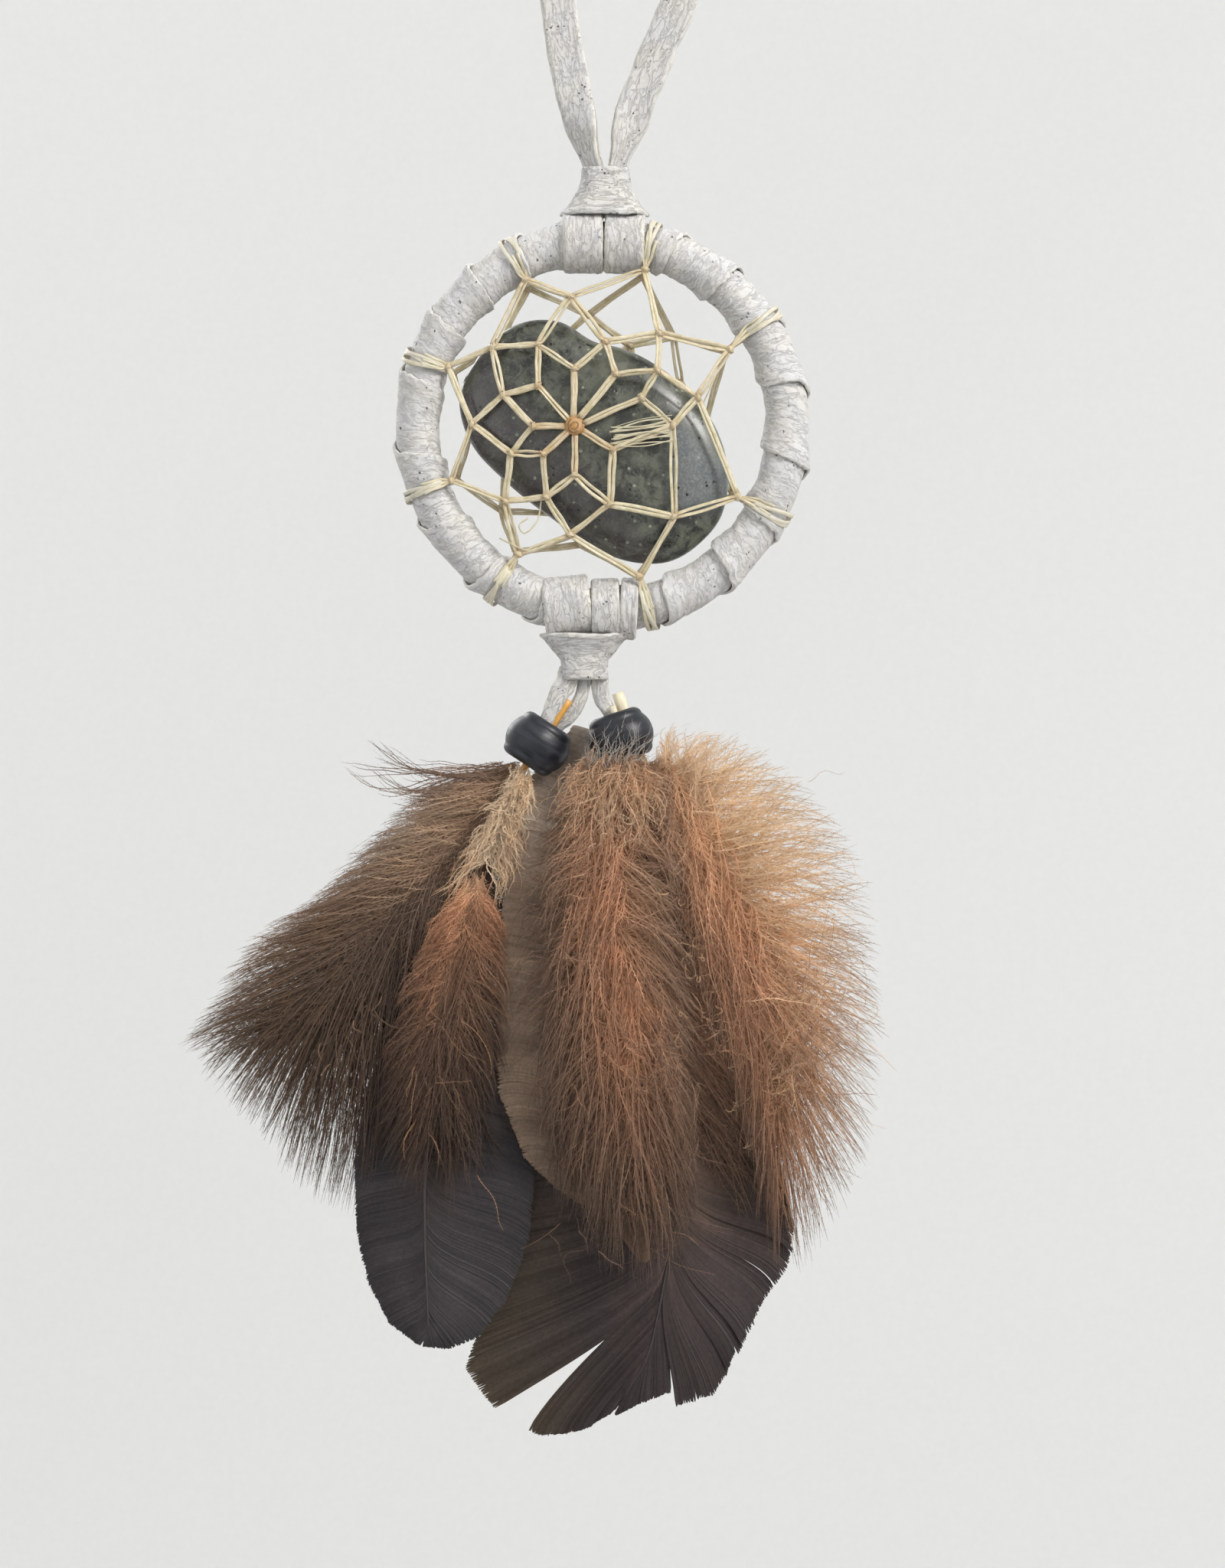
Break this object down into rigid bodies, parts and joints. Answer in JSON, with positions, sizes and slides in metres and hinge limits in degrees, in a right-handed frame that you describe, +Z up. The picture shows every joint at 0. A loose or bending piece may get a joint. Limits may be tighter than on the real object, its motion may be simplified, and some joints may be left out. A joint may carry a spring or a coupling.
{
  "type": "dream catcher",
  "caption": "Small hanging dream catcher: leather-wrapped hoop, sinew web round a polished stone, lace loop, two beaded feather pendants.",
  "frame": {"origin": "the hook point: the underside of the hanging loop's top, where a nail, hook or cord bears", "axes": "+Z up, along the hanging object's length; +X to the right seen from the front; +Y back, through the hoop's thickness"},
  "size_m": [0.0948, 0.012, 0.2266],
  "materials": {
    "suede_lace": "napped suede, off-white",
    "wrap_leather": "matt grain leather, off-white, with fine pores",
    "hoop_wire": "plated wire",
    "sinew": "waxed artificial sinew, slightly translucent cream",
    "sinew_amber": "waxed sinew, amber where it is knotted",
    "tumbled_stone": "polished, mottled dark grey-green",
    "black_bead": "satin gloss",
    "quill": "horn, cream to amber",
    "brown_down": "soft down, dark grey-brown",
    "tan_down": "soft down, tan to orange-brown",
    "golden_down": "soft down, golden beige",
    "dark_vane": "feather vane, charcoal with a slight sheen"
  },
  "bodies": {
    "hanging_loop": {"hanging_loop": "suede_lace"},
    "hoop": {"hoop_core_ring": "hoop_wire", "hoop_leather_wrap": "wrap_leather", "sinew_ring_hitches": "sinew", "top_lace_turn_left": "suede_lace", "top_lace_turn_right": "suede_lace", "bottom_lace_turn_left": "suede_lace", "bottom_lace_turn_middle": "suede_lace", "bottom_lace_turn_right": "suede_lace", "top_collar": "wrap_leather", "top_lace_neck": "suede_lace", "bottom_collar": "wrap_leather", "bottom_lace_neck": "suede_lace", "stone": "tumbled_stone", "web_front": "sinew", "web_back": "sinew", "web_front_hub_knot": "sinew_amber", "web_back_hub_knot": "sinew_amber"},
    "left_pendant": {"left_lace_front": "suede_lace", "left_lace_back": "suede_lace", "left_outer_feather_quill": "quill", "left_outer_feather_down": "brown_down", "left_inner_feather_quill": "quill", "left_inner_feather_down": "tan_down", "left_inner_feather_vane": "dark_vane"},
    "right_pendant": {"right_lace": "suede_lace", "centre_feather_quill": "quill", "centre_feather_down": "tan_down", "right_feather_quill": "quill", "right_feather_down": "golden_down", "back_feather_quill": "quill", "back_feather_vane_left": "dark_vane", "back_feather_vane_right": "dark_vane"},
    "left_bead": {"left_bead": "black_bead"},
    "right_bead": {"right_bead": "black_bead"}
  },
  "joints": [
    {"name": "loop_fold", "type": "hinge", "parent": "hanging_loop", "child": "hoop", "pos_m": [-0.0037, 0, -0.0471], "axis": [1, 0, 0], "range_deg": [-110, 110]},
    {"name": "left_pendant_swing", "type": "hinge", "parent": "hoop", "child": "left_pendant", "pos_m": [-0.0077, 0, -0.12], "axis": [1, 0, 0], "range_deg": [-90, 90]},
    {"name": "right_pendant_swing", "type": "hinge", "parent": "hoop", "child": "right_pendant", "pos_m": [-0.00385, 0, -0.12], "axis": [1, 0, 0], "range_deg": [-90, 90]},
    {"name": "left_bead_slide", "type": "slide", "parent": "left_pendant", "child": "left_bead", "axis": [0.5487, 0, 0.836], "range_m": [0, 0.002]},
    {"name": "right_bead_slide", "type": "slide", "parent": "right_pendant", "child": "right_bead", "axis": [-0.3183, 0, 0.948], "range_m": [0, 0.002]}
  ]
}
